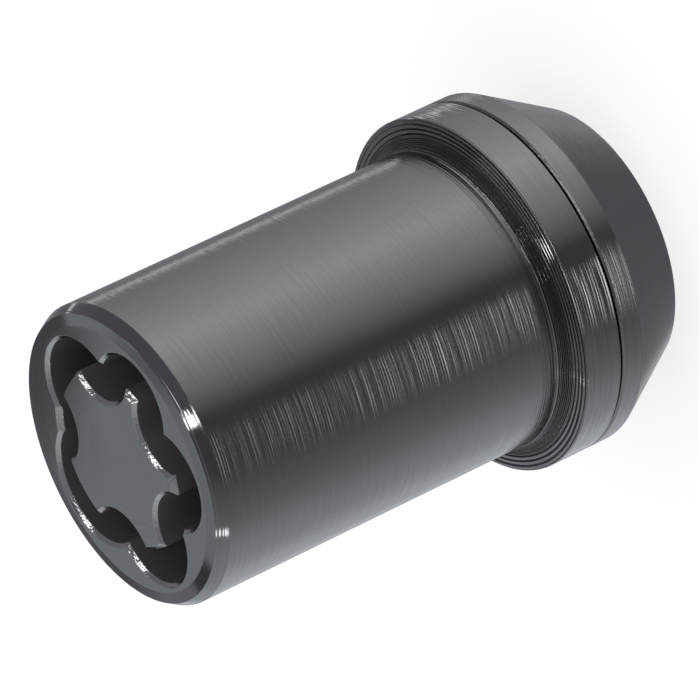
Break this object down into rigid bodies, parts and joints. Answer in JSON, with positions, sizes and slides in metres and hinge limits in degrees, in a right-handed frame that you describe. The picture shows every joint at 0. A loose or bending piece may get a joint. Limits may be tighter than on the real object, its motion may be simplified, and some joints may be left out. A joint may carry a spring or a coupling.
{
  "type": "locking wheel nut",
  "caption": "Locking wheel nut with a round barrel, a lobed key groove, a flange and a captive free-turning conical seat ring.",
  "frame": {"origin": "on the nut's axis, in the plane of the seat ring's open end face", "axes": "+Z along the nut's axis, from the open end to the key end; the lock groove's widest lobe lies about 10 degrees past +Y"},
  "size_m": [0.025, 0.025, 0.0386],
  "materials": {
    "body_chrome": "glossy black chrome plate over fine turning marks",
    "ring_chrome": "satin black chrome plate over fine turning marks"
  },
  "bodies": {
    "nut": {"nut_body": "body_chrome"},
    "seat": {"seat_ring": "ring_chrome"}
  },
  "joints": [
    {"name": "seat_ring_spin", "type": "hinge", "parent": "nut", "child": "seat", "pos_m": [0, 0, 0], "axis": [0, 0, 1], "continuous": true}
  ]
}
